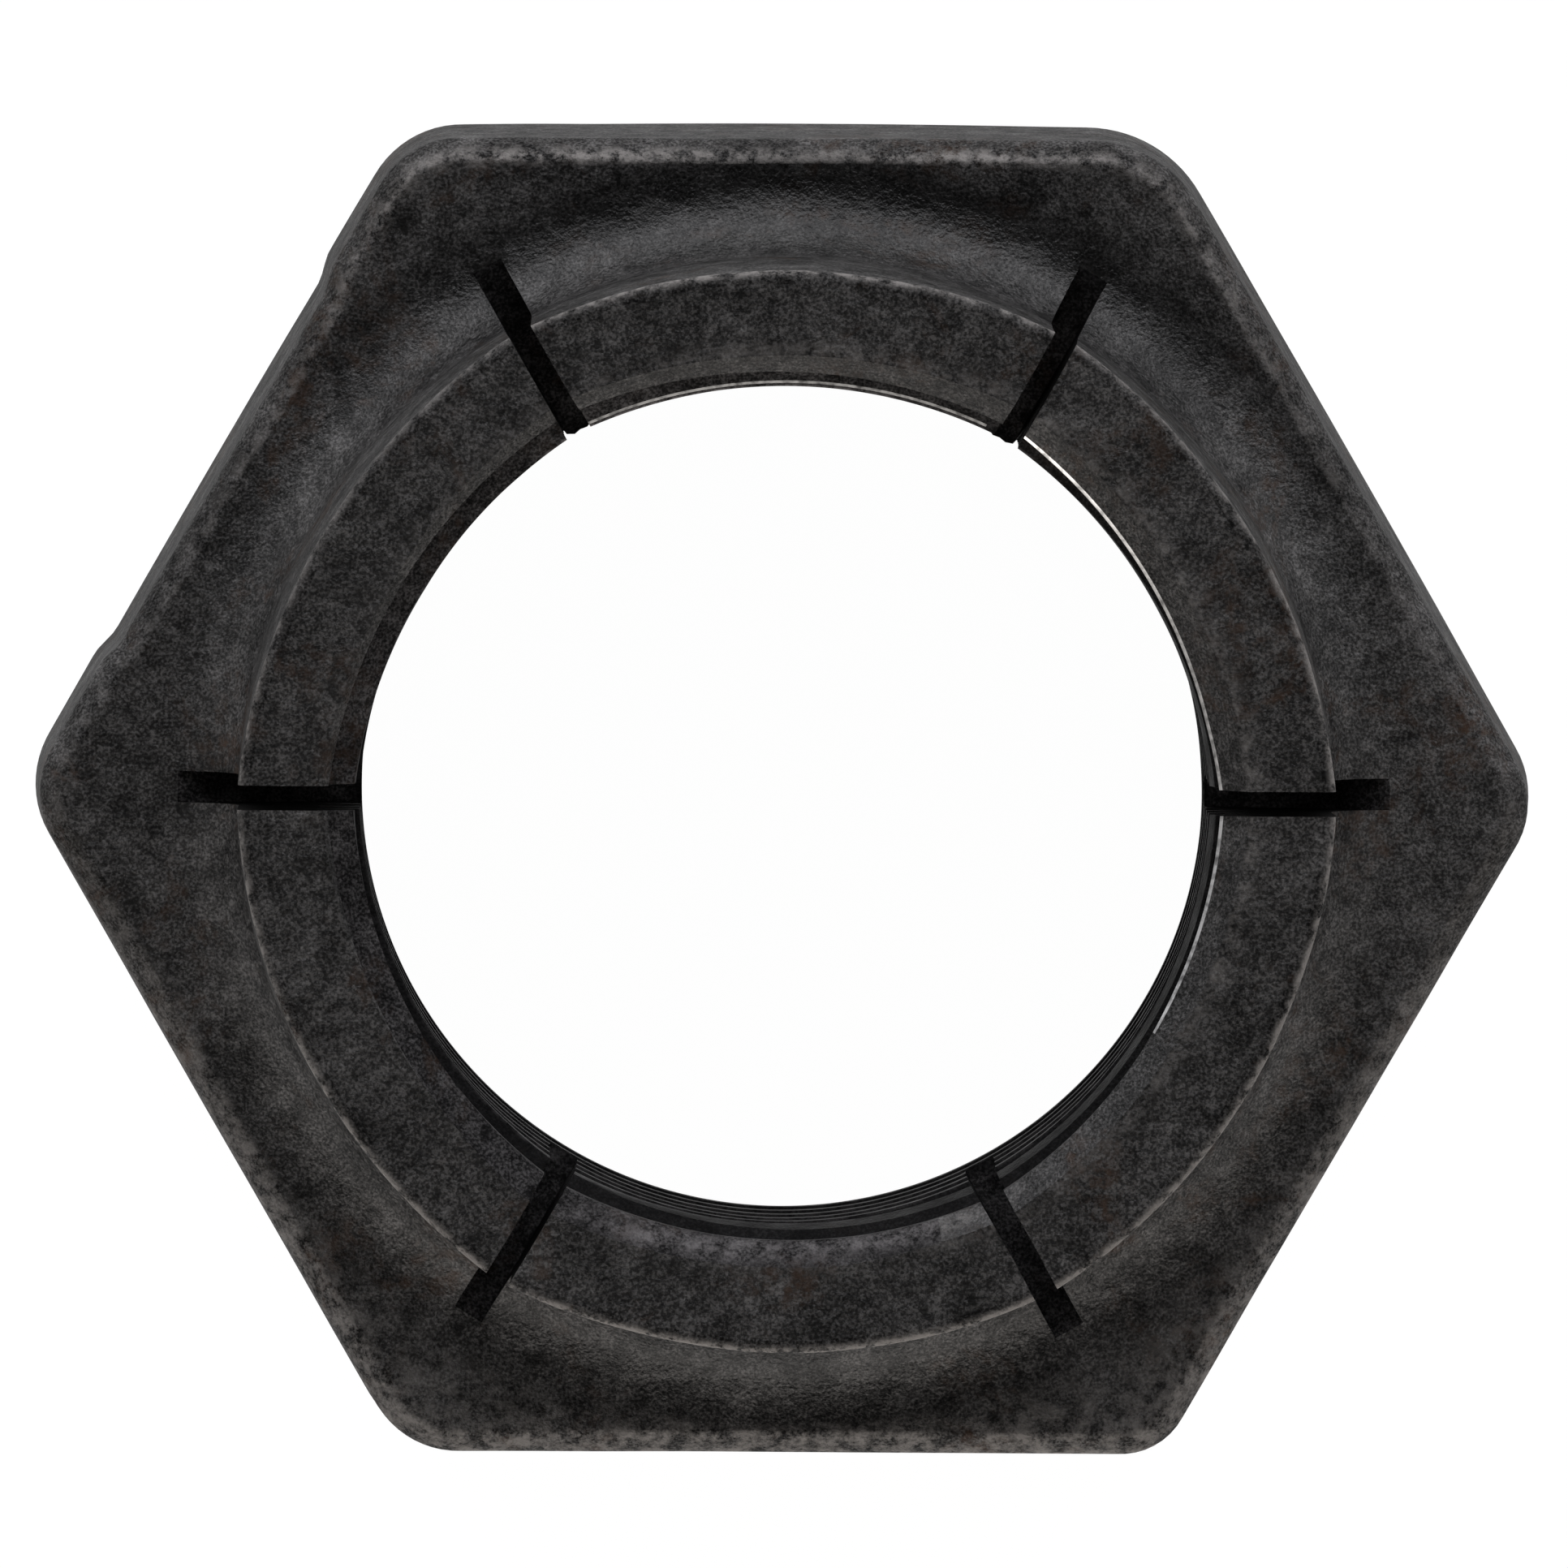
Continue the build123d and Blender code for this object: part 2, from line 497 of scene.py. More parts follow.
# %% [markdown]
# The fillet needs a row where the slots run out, at the point where the saw's
# circle comes up through it. That point is looked for on a fine ladder of
# angles over the lower half of the fillet. The other rows are spread by angle.

# %% Rows of the fillet
fillet_steps = 400
fillet_top = 90
fillet_degrees = [-rise_degrees, 1, 21, 32, 43, 54, 65, 76, 84, fillet_top]


def on_fillet(turn):
    """Reach and height on the fillet: those of its centre, less its radius
    times the sine and the cosine of the angle turned from straight down."""
    return valley_radius - fillet_radius * np.sin(turn), collar_root - fillet_radius * np.cos(turn)


fine_turn = np.radians(np.linspace(-rise_degrees, fillet_top, fillet_steps))
fine_reach, fine_height = on_fillet(fine_turn)
to_floor = np.abs(saw_floor(fine_reach) - fine_height)
run_out = fine_turn[to_floor[:fillet_steps // 2].argmin()]
fillet_turn = np.sort(np.append(np.radians(fillet_degrees), run_out))[:, None]
run_out_in_fillet = int(np.abs(fillet_turn[:, 0] - run_out).argmin())
print("slots run out at a reach of", round(float(on_fillet(run_out)[0]), 2), "mm")

# %% [markdown]
# Now the blocks can be stacked. Each one starts where the one before it ends,
# so a share of 0 or 1 is given only once, and the rows lie closer together
# towards an edge, which keeps the shading crisp there.

# %% Blocks of rows
edge_turn = np.radians([0, 22.5, 45, 67.5, 90])[:, None]
wall_top = overall_height - crown_edge_radius
ring = np.ones(total_columns)
crown_inner = bore_reach[-1]
crown_outer = (collar_radius - crown_edge_radius) * ring
face_share = shares(0, 0.05, 0.5, 0.95)
chamfer_share = shares(0, 0.1, 0.5, 0.9)
flank_share = shares(0, 0.03, 0.12, 0.24, 0.36, 0.48, 0.6, 0.72, 0.84, 0.93, 0.98)
rim_share = shares(0, 0.14, 0.28, 0.43, 0.57, 0.72, 0.86, 1)
land_share = shares(0.04, 0.15, 0.32, 0.5, 0.68, 0.85, 0.96)
wall_share = shares(0.04, 0.15, 0.3, 0.45, 0.6, 0.75, 0.9, 0.97)
crown_share = shares(0.04, 0.2, 0.4, 0.6, 0.8, 0.96, 1)

flank_height = between(chamfer_height, flank_top[1], flank_share)
land_start = (land_start_reach * ring, land_start_height * ring)
fillet_reach, fillet_height = on_fillet(fillet_turn)
blocks = {
    "bearing face": (between(bore_reach[0], bearing_radius, face_share), 0 * face_share * ring),
    "chamfer": (
        between(bearing_radius, chamfer_reach, chamfer_share),
        chamfer_height * chamfer_share,
    ),
    "flank": (flank_reach(flank_height), flank_height),
    "rim": rounded(flank_top, (rim_reach, rim_height), land_end, rim_turn, rim_fullness, rim_share),
    "land": [between(end, start, land_share) for end, start in zip(land_end, land_start)],
    "fillet": (fillet_reach * ring, fillet_height * ring),
    "wall": (
        collar_radius * ring * np.ones_like(wall_share),
        between(collar_root, wall_top, wall_share) * ring,
    ),
    "crown edge": (
        (collar_radius - crown_edge_radius * (1 - np.cos(edge_turn))) * ring,
        (wall_top + crown_edge_radius * np.sin(edge_turn)) * ring,
    ),
    "crown": (
        between(crown_outer, crown_inner, crown_share),
        overall_height * ring * np.ones_like(crown_share),
    ),
}
outer_reach = np.concatenate([reach for reach, height in blocks.values()])
outer_height = np.concatenate([height for reach, height in blocks.values()])
block_rows = [len(height) for reach, height in blocks.values()]
first_row = dict(zip(blocks, np.cumsum([0, *block_rows])))
run_out_row = first_row["fillet"] + run_out_in_fillet
print("rows outside", len(outer_reach), "rows in the bore", len(bore_reach))

# %% [markdown]
# Where the skin is thin, and painted highlights
#
# Handling rubs black oxide thin wherever a spanner, a bench or the next nut
# touches, above all on edges. One could paint that on a picture that is
# wrapped round the nut. A number on each point needs no picture: each row of a
# block gets a share, times a strength that changes round the nut. On the rim,
# the land and the crown's edge the same number also carries painted highlights,
# made larger on the upper and lower sides, where the tent's light falls.

# %% Wear and painted highlights on the outside
flank_wear = 0.04
upper_middle, upper_spread = np.radians(92), np.radians(34)
rim_wear, rim_at_corners, rim_upper_fade = 0.7, 0.35, 0.5
inner_highlight_line = shares(0, 0, 0, 0, 0.5, 1.2, 1.2, 0.8)
upper_highlight_least, upper_highlight_most = 0.12, 1.2
lower_highlight_line = shares(1.0, 0.7, 0.55, 0.4, 0.3, 0.1, 0, 0)
lower_highlight_gain = 1.6
lower_inner_highlight = shares(0, 0, 0, 0.1, 0.3, 0.7, 0.9, 1)
inner_half_wear = 0.72
land_start_highlight = shares(0.6, 0, 0, 0, 0, 0, 0)
land_wear = 0.75
crown_edge_highlight_line = shares(0.7, 1.0, 0.6, 0.2, 0)
crown_edge_lit_side, crown_edge_highlight_least, crown_edge_highlight_most, crown_edge_upper_highlight = -80, 0.2, 2.4, 1.2
inner_crown = shares(0, 0, 0, 0, 0.1, 0.5, 0.3)
inner_crown_side = 25


def bell(value, middle, spread):
    """1 at the middle and less on both sides: e to the power of minus the
    square of the distance from it, counted in spreads."""
    return np.exp(-((value - middle) / spread) ** 2)


def towards(degrees):
    """1 in one direction and 0 in the opposite one: half of one plus the
    cosine of the angle between the column and that direction."""
    return 0.5 + 0.5 * np.cos(hexagon_columns - np.radians(degrees))


upper_side = bell(hexagon_columns, upper_middle, upper_spread)
lower_side = np.clip(-np.sin(hexagon_columns), 0, 1)
towards_flat = between(rim_at_corners, 1.0, np.sin(hexagon_columns) ** 2)
rim_strength = rim_wear * towards_flat * (1 - rim_upper_fade * upper_side)
# Painted highlights: the rim's inner line and the start of the land are lighter towards the upper side, and
# the rim's outer line, its inner half and the land are lighter towards the lower side, where the light
# falls. Only the plain share along the rim is edge wear.
upper_highlight_strength = between(upper_highlight_least, upper_highlight_most, upper_side)
crown_edge_highlight_strength = between(crown_edge_highlight_least, crown_edge_highlight_most, towards(crown_edge_lit_side))

row_wear = {name: np.zeros((rows, 1)) for name, rows in zip(blocks, block_rows)}
row_wear["chamfer"] += flank_wear
row_wear["flank"] += flank_wear
row_wear["rim"] = rim_share * (1 - rim_share) * rim_strength + inner_highlight_line * upper_highlight_strength
row_wear["rim"] += lower_highlight_line * np.minimum(lower_highlight_gain * lower_side, 1)
row_wear["rim"] += lower_inner_highlight * inner_half_wear * lower_side**2
row_wear["land"] = land_wear * (1 - land_share) * lower_side**2 + land_start_highlight * upper_highlight_strength
# Painted highlight: the crown's edge is made lighter towards the lower side and again on the upper side,
# where the light falls, over a little edge wear all round.
row_wear["crown edge"] = crown_edge_highlight_line * (crown_edge_highlight_strength + crown_edge_upper_highlight * upper_side)
row_wear["crown"] = inner_crown * towards(inner_crown_side)
outer_wear = np.concatenate([wear * ring for wear in row_wear.values()])
print("wear outside up to", round(outer_wear.max(), 2))

# %% [markdown]
# The collar wasn't turned quite true to the bore, so the crown is wider on one
# side. That shift is full on the collar and fades out towards the rim of the
# hexagon and towards the bore. The press then moves each segment in, inside
# and outside alike, and pushes the whole crown a little to one side.

# %% Runout and press
runout, press_shift = 0.08, 0.12
runout_end = 18.0

outer_angle = column_angle(np.minimum(outer_reach, column_reach), outer_height)
outward = np.clip((runout_end - outer_reach) / (runout_end - collar_radius), 0, 1)
on_crown = (outer_reach - crown_inner) / (collar_radius - crown_inner)
turned = np.where(outer_height > collar_root, np.clip(on_crown, 0, 1), outward)
turned[: first_row["rim"]] = 0


def press(reach, angle, height):
    """Moves a segment in, and the collar to one side: by its shift times the
    share of the press and the cosine of the angle to that side."""
    shift = press_shift * press_share(height) * np.cos(angle - runout_angle)
    return reach - pressed_in(height) + shift


outer_reach = outer_reach + runout * turned * np.cos(outer_angle - runout_angle)
outer_reach = press(outer_reach, outer_angle, outer_height)
bore_pressed = press(bore_reach, bore_angle_full, bore_height)
crown_bore = bore_pressed[-1]
print("bore at the crown", crown_bore.min().round(2), "to", crown_bore.max().round(2), "mm in radius")

# %% [markdown]
# The saw left a burr where it broke into the bore. The floor of a slot ends
# there in a small ragged tongue that stands a little inside the thread. On two
# slots it is whole, and on the others nearly all of it has broken off. It
# needs no piece of its own: the five points of that edge move inwards.

# %% Burrs of the saw
burr_lengths = np.array([0.12, 0.20, 0.17, 0.21, 0.10])
stump = 0.15
burr_left = (1, 1, stump, stump, stump, stump)
for columns, row, left in zip(slot_columns, floor_row, burr_left):
    bore_pressed[row, columns] = crest_radius - left * burr_lengths
print("burrs stand up to", burr_lengths.max(), "mm inside the crests")

# %% [markdown]
# One closed surface
#
# Reach, angle and height now become points, and a face is four of their
# numbers. Outside, the last column is joined to the first one in the same row.
# In the bore it is joined a pitch higher, and the countersink's level rows
# meet themselves again.

# %% Points and the faces of the grid
def points(reach, angle, height):
    """Turns reach, angle and height into x, y and z."""
    return np.stack([reach * np.cos(angle), reach * np.sin(angle), height], axis=-1)


def quads(ids):
    """Four-sided faces of a grid of point numbers, rows down, columns across."""
    return np.stack([ids[:-1, :-1], ids[:-1, 1:], ids[1:, 1:], ids[1:, :-1]], axis=-1)


outer_points = points(outer_reach, outer_angle, outer_height)
bore_points = points(bore_pressed, bore_angle_full, bore_height)
outer_id = np.arange(outer_reach.size).reshape(outer_reach.shape)
bore_id = outer_id.size + np.arange(bore_reach.size).reshape(bore_reach.shape)

outer_quads = quads(np.concatenate([outer_id, outer_id[:, :1]], axis=1))
climbing, level = bore_id[rows_per_turn:edge_row + 1, :1], bore_id[edge_row + 1:, :1]
rim_again = np.repeat(bore_id[edge_row:edge_row + 1, :1], rows_per_turn, axis=0)
next_column = np.concatenate([climbing, rim_again, level])
bore_quads = quads(np.concatenate([bore_id, next_column], axis=1))[..., ::-1]
print("points of the grid", outer_id.size + bore_id.size)

# %% [markdown]
# The grid still runs straight across the slots. Its faces there are left out
# from the run-out in the fillet to the floor's row in the bore. A small patch
# makes the floor, and a many-sided face on each side follows the whole section
# of the slot. Because they use the grid's own points, the surface closes.

# %% Slots
floor_gaps = 12
least_rise = 1e-4


def off_circle(edge):
    """How far the points of an edge lie above the saw's circle."""
    return edge[:, 2] - saw_floor(np.hypot(edge[:, 0], edge[:, 1]))


def floor_patch(start, end):
    """Points between the two ends of a floor. Their height is the saw's
    circle, plus what the ends are off it, shared out by the way between."""
    share = np.linspace(0, 1, floor_gaps + 1)[1:-1, None, None]
    patch = start + (end - start) * share
    circle = saw_floor(np.hypot(patch[..., 0], patch[..., 1]))
    share = share[..., 0]
    patch[..., 2] = circle + off_circle(start) * (1 - share) + off_circle(end) * share
    return patch


def wall_loop(column, row, floor_ids):
    """Point numbers round a slot's wall: up the outside, over the crown, down
    the bore and back along the floor. Rows that fell together count once."""
    rising = np.flatnonzero(np.diff(bore_height[:, column]) > least_rise)
    down_the_bore = bore_id[rising[rising > row][::-1], column]
    return np.concatenate([outer_id[run_out_row:, column], down_the_bore, floor_ids])[:-1].tolist()


keep_outer = np.ones(outer_quads.shape[:2], dtype=bool)
keep_bore = np.ones(bore_quads.shape[:2], dtype=bool)
floor_points, floor_quads, wall_loops = [], [], []
first_floor_id = next_id = outer_id.size + bore_id.size
for columns, row in zip(slot_columns, floor_row):
    keep_outer[run_out_row:, columns[:-1]] = False
    keep_bore[row:, columns[:-1]] = False
    patch = floor_patch(outer_points[run_out_row, columns], bore_points[row, columns])
    floor_points.append(patch.reshape(-1, 3))
    ids = next_id + np.arange(patch[..., 0].size).reshape(patch.shape[:2])
    next_id += ids.size
    ids = np.concatenate([outer_id[run_out_row, columns][None], ids, bore_id[row, columns][None]])
    floor_quads.append(quads(ids).reshape(-1, 4))
    for side in (0, -1):
        wall_loops.append(wall_loop(columns[side], row, ids[::-1, side]))

all_points = np.concatenate([outer_points.reshape(-1, 3), bore_points.reshape(-1, 3), *floor_points])
print("points", len(all_points), "before merging")

# %% [markdown]
# Wear and painted highlights in the bore, and painted shade
#
# Bolts rub the crests of the thread, and a short band of the countersink has
# been scraped. On the lower and upper sides the crests are made lighter than
# that, and the band lies on the lower side only: that extra lightness is
# painted highlight. The valley and the collar's wall on the upper side, and the
# thread all round, are darkened as painted shade, and the top of the crown is a
# little darker. A bell or a smooth step gives most of these zones a soft end.

# %% Wear and painted highlights in the bore, and painted shade
crest_least, crest_lower_highlight, crest_upper_highlight = 0.25, 0.65, 0.75
scraped_wear, scrape_and_highlight_fade = 0.5, 0.75
valley_top = 11.0
wall_shade, unshaded_wall_top = 0.5, 0.6
crown_darkening, crown_skin = 0.2, 0.2
thread_shade, thread_reach = 0.88, 12.8

# Painted highlight, partly scraping: a band of the countersink on the lower side is made lighter.
scrape_and_highlight = on_side(bore_angle_full, middle=272, outer=33, inner=18)
scrape_and_highlight *= smooth_step(bore_height, start=15.55, end=15.95)
scrape_and_highlight *= 1 - scrape_and_highlight_fade * smooth_step(bore_height, start=15.95, end=16.25)
# The crests are rubbed lighter all round. The extra on the lower and upper sides is painted highlight,
# standing in for bright reflections on the crests.
crest_wear = crest_least + crest_lower_highlight * smooth_step(-np.sin(bore_angle_full), start=-0.1, end=0.8)
crest_wear += crest_upper_highlight * on_side(bore_angle_full, middle=90, outer=50, inner=28)
bore_wear = np.where(on_crest, crest_wear, scraped_wear * scrape_and_highlight)
floor_wear = np.zeros(len(all_points) - first_floor_id)
all_wear = np.concatenate([outer_wear.ravel(), bore_wear.ravel(), floor_wear])

point_height = all_points[:, 2].copy()
point_reach = np.hypot(all_points[:, 0], all_points[:, 1])
point_angle = np.arctan2(all_points[:, 1], all_points[:, 0])
# Painted shade: the valley and the foot of the collar's wall on the upper side, and the thread below the
# lead all round, are darkened to stand in for the shade of these recesses. The top of the crown is a little
# darker all round.
shaded_upper_side = bell(point_angle, middle=np.radians(84), spread=np.radians(44))
in_valley = bell(point_reach, middle=16.70, spread=0.80) * (point_height < valley_top)
on_wall = bell(point_reach, middle=15.1, spread=0.5) * (point_height < overall_height - unshaded_wall_top)
on_top = crown_darkening * (point_height > overall_height - crown_skin)
in_thread = thread_shade * (1 - smooth_step(point_height, start=14.2, end=14.7))
in_thread *= point_reach < thread_reach
in_thread[first_floor_id:] = 0
all_soot = shaded_upper_side * (in_valley + wall_shade * on_wall) + on_top + in_thread
print("wear in the bore up to", round(bore_wear.max(), 2), "and dirt up to", round(all_soot.max(), 2))

# %% [markdown]
# A forging's surface is never dead flat. Broad waves with seeded directions
# move the outside, all but the bearing face, by some hundredths of a
# millimetre, always inwards, so that nothing leaves the box of the CAD model.
# They are too low to see as bumps, but they bend the reflections.

# %% Broad waves
wave_seed = 7
wave_count = 28
shortest_wave, longest_wave = 3.5, 11.0
waves = np.random.default_rng(wave_seed)
wave_length = waves.uniform(shortest_wave, longest_wave, wave_count)
wave_way = waves.normal(size=(wave_count, 3))
wave_way /= np.linalg.norm(wave_way, axis=1)[:, None]
wave_start = waves.uniform(0, 2 * np.pi, wave_count)
wave_depth = 0.05
flank_calm = 0.6
downward_share = 0.6


def waviness(where):
    """Sum of sine waves over space, divided by the root of their number and
    brought to the range from 0 to 1."""
    phase = where @ (wave_way / wave_length[:, None]).T * 2 * np.pi + wave_start
    return 0.5 + 0.5 * np.clip(np.sin(phase).sum(axis=1) / np.sqrt(wave_count), -1, 1)


off_bearing = smooth_step(point_height, start=0.0, end=1.2)
off_bore = smooth_step(point_reach, start=12.7, end=13.4)
on_flank = smooth_step(point_reach, start=17.2, end=17.8)
sink = wave_depth * waviness(all_points) * off_bearing * off_bore * (1 - flank_calm * on_flank)
all_points[:, :2] *= (1 - sink / point_reach)[:, None]
all_points[:, 2] -= downward_share * sink * smooth_step(point_height, start=5.0, end=8.0)
print("waves sink the skin by up to", round(sink.max(), 3), "mm")

# %% [markdown]
# Every face now gets the number of its finish. The forged skin is the common
# one. The chamfer, the flanks with their rim and the collar's wall with its
# crown edge are scuffed to a matt skin, the bore below the countersink and the
# slots' floors have the skin of a cut thread, and two narrow bands are bare:
# the lip, and the rubbed top of the last crest.

# %% Finish of every face
oxide, threaded, sawn, burnished, rubbed, matte = range(6)
above_crest_row = 2
rubbed_middle, rubbed_half = np.radians(90), np.radians(28)

outer_finish = np.full(outer_quads.shape[:2], oxide)
outer_finish[first_row["chamfer"]:first_row["land"]] = matte
outer_finish[first_row["wall"]:first_row["crown"]] = matte
bore_finish = np.full(bore_quads.shape[:2], threaded)
bore_finish[edge_row:] = oxide
bore_finish[edge_row, with_lip] = burnished
rubbed_row = turns_below_phase * rows_per_turn + above_crest_row
bore_finish[rubbed_row, np.abs(bore_angle - rubbed_middle) < rubbed_half] = rubbed
on_floors = np.full(sum(map(len, floor_quads)), threaded)
on_walls = np.full(len(wall_loops), sawn)

faces = [outer_quads[keep_outer], bore_quads[keep_bore], *floor_quads]
face_list = np.concatenate(faces).tolist() + wall_loops
finish_of = np.concatenate([outer_finish[keep_outer], bore_finish[keep_bore], on_floors, on_walls])
print("faces of each finish", np.bincount(finish_of))

# %% [markdown]
# Points that fell together at the rims are merged, the many-sided slot walls
# are cut into triangles, and the normals are turned outwards. The signed
# volume then says whether the surface is closed and the right way out.

# %% Build the mesh
merge_distance = 0.002 * MM
edge_limit = np.radians(28)

mesh = bpy.data.meshes.new("lock_nut_finished")
mesh.from_pydata((all_points * MM).tolist(), [], face_list)
mesh.polygons.foreach_set("material_index", finish_of)
for name, values in (("wear", all_wear), ("soot", all_soot)):
    mesh.attributes.new(name, "FLOAT", "POINT").data.foreach_set("value", values)
work = bmesh.new()
work.from_mesh(mesh)
bmesh.ops.remove_doubles(work, verts=work.verts, dist=merge_distance)
walls = [face for face in work.faces if len(face.verts) > 4]
bmesh.ops.triangulate(work, faces=walls, ngon_method="EAR_CLIP")
bmesh.ops.recalc_face_normals(work, faces=work.faces)
open_edges = sum(not edge.is_manifold for edge in work.edges)
volume = work.calc_volume(signed=True) / MM**3
if volume < 0:
    bmesh.ops.reverse_faces(work, faces=work.faces)
work.to_mesh(mesh)
work.free()
mesh.shade_smooth()
mesh.set_sharp_from_angle(angle=edge_limit)
nut = bpy.data.objects.new("lock_nut_finished", mesh)
bpy.context.scene.collection.objects.link(nut)
triangles = sum(len(face.vertices) - 2 for face in mesh.polygons)
print("open edges", open_edges, "volume", round(volume, 1), "mm3, triangles", triangles)

# %% [markdown]
# Dark oxide
#
# Black oxide is a thin skin grown on the steel: nearly black, soft in its
# gloss, blotched, peppered with fine pits, and rubbed lighter along the edges.
# Each of these is a noise pattern over Object coordinates, so it stays fixed
# to the steel. Over them the skin is painted lighter where highlights fall and
# darker where shade falls, by two numbers stored on the mesh. A node group would
# hide the steps, so short helpers lay the nodes out instead. The floor and the
# light use the first class too.

# %% Node helpers
# Numbers of a Mix node's sockets for colours: two go in and one comes out
first_colour, second_colour, mixed_colour = 6, 7, 2


class Bench:
    """A node tree and short ways to lay nodes out in it."""

    def __init__(self, owner):
        owner.use_nodes = True
        self.nodes, self.links = owner.node_tree.nodes, owner.node_tree.links

    def feed(self, node, key, value):
        """Gives an input a constant, or links another node's output to it."""
        if isinstance(value, bpy.types.NodeSocket):
            self.links.new(value, node.inputs[key])
        else:
            node.inputs[key].default_value = value

    def add(self, kind, values=(), **settings):
        """A new node with its settings, and its inputs fed by name or number."""
        node = self.nodes.new("ShaderNode" + kind)
        for name, setting in settings.items():
            setattr(node, name, setting)
        for key, value in dict(values).items():
            self.feed(node, key, value)
        return node

    def ranged(self, value, start, end, low_to=0.0, high_to=1.0, curve="LINEAR"):
        """Maps start to end onto another range, and clamps beyond it."""
        values = {"Value": value, "From Min": start, "From Max": end, "To Min": low_to, "To Max": high_to}
        return self.add("MapRange", values, interpolation_type=curve).outputs["Result"]

    def maths(self, operation, first, second):
        """One arithmetic step on two values, either of them a plain number."""
        return self.add("Math", {0: first, 1: second}, operation=operation).outputs[0]

    def mixed(self, share, first, second):
        """Mixes two colours, each a tuple or the output of another node."""
        node = self.add("Mix", {"Factor": share}, data_type="RGBA")
        for key, colour in ((first_colour, first), (second_colour, second)):
            self.feed(node, key, (*colour, 1.0) if isinstance(colour, tuple) else colour)
        return node.outputs[mixed_colour]

    def blended(self, share, first, second):
        """Mixes two shaders."""
        return self.add("MixShader", {0: share, 1: first, 2: second}).outputs[0]


class Finish(Bench):
    """A Principled material whose patterns are fixed to the piece."""

    def __init__(self, name):
        self.material = bpy.data.materials.new(name)
        super().__init__(self.material)
        self.shader = self.nodes["Principled BSDF"]
        self.where = self.add("TexCoord").outputs["Object"]

    def noise(self, per_mm, detail, gain=0.5, stretch=0.0):
        """Noise with so many features per millimetre, bent by distortion."""
        values = {"Scale": per_mm / MM, "Detail": detail, "Roughness": gain, "Distortion": stretch}
        return self.add("TexNoise", {"Vector": self.where, **values}).outputs["Fac"]

    def pattern(self, start, end, most=1.0, **noise):
        """Noise whose values between start and end are spread from 0 to most."""
        return self.ranged(self.noise(**noise), start, end, 0.0, most)

    def attribute(self, name):
        """A number stored on the points of the mesh."""
        return self.add("Attribute", attribute_name=name).outputs["Fac"]


print("node helpers", [name for name in vars(Bench) if not name.startswith("_")])

# %% [markdown]
# Four finishes share the same skin and differ in how it has been worked: the
# forged outside, its scuffed matt sides, the cut thread and the sawn slots.
# One function builds all four from their colours, their gloss and the depth
# of their grain. Its numbers were found by trial against the photograph.

# %% Oxide finish
blotch_share, mottling_share, speck_share = 0.24, 0.29, 0.47
tone_power = 2.1
soot_cover, soot_shine = 0.95, -0.12
gloss_down, gloss_up = 0.06, 0.10
coarse_grain = 1.6


def oxide_colour(skin, sooty, dark, light, rust, rubbed):
    """Mixes dark and light by a power of the weighted sum of three patterns.
    Two more, multiplied, add rust, and another adds pits. The first stored
    number times chips lightens: edge wear and painted highlights. The second
    darkens: painted shade and a darker top of the crown."""
    blotches = skin.pattern(per_mm=0.5, detail=4.0, gain=0.62, stretch=0.5, start=0.36, end=0.66)
    mottling = skin.pattern(per_mm=2.0, detail=4.0, gain=0.66, start=0.36, end=0.64)
    specks = skin.pattern(per_mm=12.0, detail=1.5, gain=0.6, start=0.37, end=0.63)
    tone = skin.maths("MULTIPLY", blotches, blotch_share)
    tone = skin.maths("ADD", tone, skin.maths("MULTIPLY", mottling, mottling_share))
    tone = skin.maths("ADD", tone, skin.maths("MULTIPLY", specks, speck_share))
    colour = skin.mixed(skin.maths("POWER", tone, tone_power), dark, light)
    stains = skin.pattern(per_mm=0.26, detail=6.0, gain=0.70, stretch=0.8, start=0.54, end=0.70)
    flecks = skin.pattern(per_mm=2.6, detail=4.0, gain=0.65, start=0.43, end=0.60)
    colour = skin.mixed(skin.maths("MULTIPLY", stains, flecks), colour, rust)
    pits = skin.pattern(per_mm=0.95, detail=5.0, gain=0.7, stretch=0.3, start=0.60, end=0.68, most=0.85)
    colour = skin.mixed(pits, colour, dark)
    chips = skin.pattern(per_mm=1.9, detail=5.0, gain=0.75, start=0.42, end=0.60)
    colour = skin.mixed(skin.maths("MULTIPLY", skin.attribute("wear"), chips), colour, rubbed)
    return skin.mixed(sooty, colour, dark)


def oxide_finish(name, roughness, specular, grain, **colours):
    """The skin's colour, a roughness that varies and is less under the painted
    shade, and a grain of fine noise plus a multiple of coarse noise."""
    skin = Finish(name)
    sooty = skin.maths("MULTIPLY", skin.attribute("soot"), soot_cover)
    skin.feed(skin.shader, "Base Color", oxide_colour(skin, sooty, **colours))
    smooth, rough = roughness - gloss_down, roughness + gloss_up
    gloss = skin.ranged(skin.noise(per_mm=1.1, detail=4.0), 0.3, 0.7, low_to=smooth, high_to=rough)
    gloss = skin.maths("ADD", gloss, skin.maths("MULTIPLY", sooty, soot_shine))
    skin.feed(skin.shader, "Roughness", gloss)
    skin.feed(skin.shader, "Specular IOR Level", specular)

    fine = skin.noise(per_mm=9.0, detail=2.5, gain=0.6)
    coarse = skin.maths("MULTIPLY", skin.noise(per_mm=1.6, detail=3.0), coarse_grain)
    height = skin.maths("ADD", fine, coarse)
    bump = skin.add("Bump", {"Strength": 1.0, "Distance": grain * MM, "Height": height})
    skin.feed(skin.shader, "Normal", bump.outputs["Normal"])
    return skin.material


print("shares of the three patterns add up to", round(blotch_share + mottling_share + speck_share, 2))

# %% [markdown]
# The forged skin is the reference. The matt one has its colours and hardly
# any reflection, because upright faces would otherwise mirror the bright
# surroundings. The thread is a little darker and duller. The slots, where
# hardly any light gets in, are painted all but black: their colour is painted
# shade.

